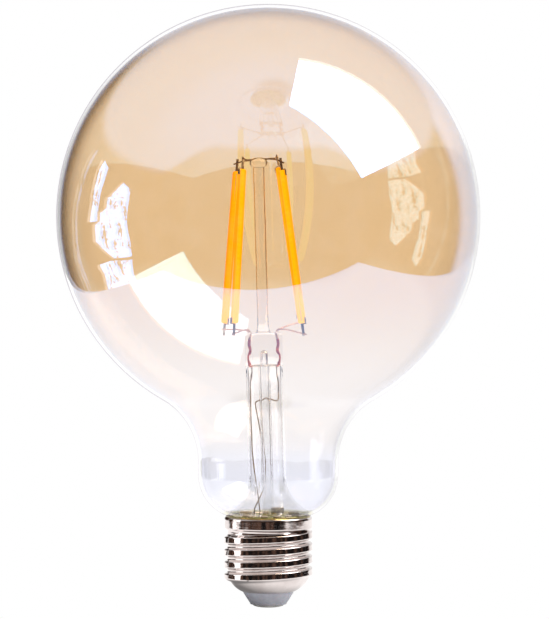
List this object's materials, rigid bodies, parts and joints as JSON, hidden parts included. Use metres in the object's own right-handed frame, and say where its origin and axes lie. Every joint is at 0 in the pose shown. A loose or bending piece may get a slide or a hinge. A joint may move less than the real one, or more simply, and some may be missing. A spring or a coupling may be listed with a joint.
{
  "type": "smart light bulb",
  "caption": "Large round amber-tinted glass filament bulb with leaning glass stem, upright light strips and a rolled screw cap that holds the driver and radio.",
  "frame": {"origin": "centre of the flat of the centre contact, at the bottom end of the screw cap", "axes": "+Z along the cap's axis towards the top of the globe; the front is -Y, the stem leans to -X"},
  "size_m": [0.125, 0.125, 0.178],
  "materials": {
    "amber_glass": "thin blown soda-lime glass with an amber coating that fades out towards the neck",
    "clear_glass": "clear drawn glass",
    "nickel_plate": "bright nickel plate on thin rolled brass",
    "contact_metal": "tinned metal",
    "insulator": "light grey moulded insulator",
    "phosphor": "yellow-orange phosphor silicone, slightly glossy",
    "substrate": "white alumina strip",
    "led_chip": "clear blue-white chips",
    "tab_metal": "plated copper alloy tab",
    "support_wire": "drawn nickel-iron wire",
    "dumet": "copper-clad seal wire",
    "circuit_board": "olive green solder mask",
    "solder": "bright solder",
    "silicone": "translucent white silicone",
    "dark_plastic": "moulded epoxy",
    "ceramic_part": "fired ceramic body with tinned ends",
    "can_metal": "drawn can",
    "capacitor_roll": "wound foil and soaked paper",
    "sleeve": "shrunk sleeve",
    "bung": "black rubber",
    "ferrite": "pressed ferrite",
    "copper": "enamelled copper wire",
    "resistor_coat": "flameproof coating",
    "film_case": "moulded case",
    "radio_board": "dark green solder mask",
    "shield_metal": "folded tin plate"
  },
  "bodies": {
    "root": {"base_insulator": "insulator", "bridge_rectifier": "dark_plastic", "cap_adhesive": "silicone", "capacitor_bung": "bung", "capacitor_can": "can_metal", "capacitor_pins": "contact_metal", "capacitor_roll": "capacitor_roll", "capacitor_sleeve": "sleeve", "centre_contact": "contact_metal", "ceramic_capacitors": "ceramic_part", "chip_resistors": "dark_plastic", "contact_lead": "contact_metal", "driver_board": "circuit_board", "driver_chip": "dark_plastic", "dumet_wire_left": "dumet", "dumet_wire_right": "dumet", "exhaust_tube": "clear_glass", "filament_chips_back_left": "led_chip", "filament_chips_back_right": "led_chip", "filament_chips_front_left": "led_chip", "filament_chips_front_right": "led_chip", "filament_coating_back_left": "phosphor", "filament_coating_back_right": "phosphor", "filament_coating_front_left": "phosphor", "filament_coating_front_right": "phosphor", "filament_strip_back_left": "substrate", "filament_strip_back_right": "substrate", "filament_strip_front_left": "substrate", "filament_strip_front_right": "substrate", "filament_tabs_back_left": "tab_metal", "filament_tabs_back_right": "tab_metal", "filament_tabs_front_left": "tab_metal", "filament_tabs_front_right": "tab_metal", "film_capacitor": "film_case", "film_capacitor_pins": "contact_metal", "fusible_resistor": "resistor_coat", "glass_globe": "amber_glass", "inductor_core": "ferrite", "inductor_pins": "contact_metal", "inductor_winding": "copper", "inner_lead_left": "support_wire", "inner_lead_right": "support_wire", "outer_lead_left": "support_wire", "outer_lead_right": "support_wire", "resistor_pin": "contact_metal", "screw_shell": "nickel_plate", "shell_lead": "contact_metal", "side_wire_left": "support_wire", "side_wire_right": "support_wire", "solder_joints": "solder", "stem_rod": "clear_glass", "stem_tube": "clear_glass", "support_wire_back": "support_wire", "support_wire_front": "support_wire", "top_bead": "clear_glass", "wireless_antenna": "ceramic_part", "wireless_board": "radio_board", "wireless_chip": "dark_plastic", "wireless_pins": "contact_metal", "wireless_shield": "shield_metal"}
  },
  "joints": []
}
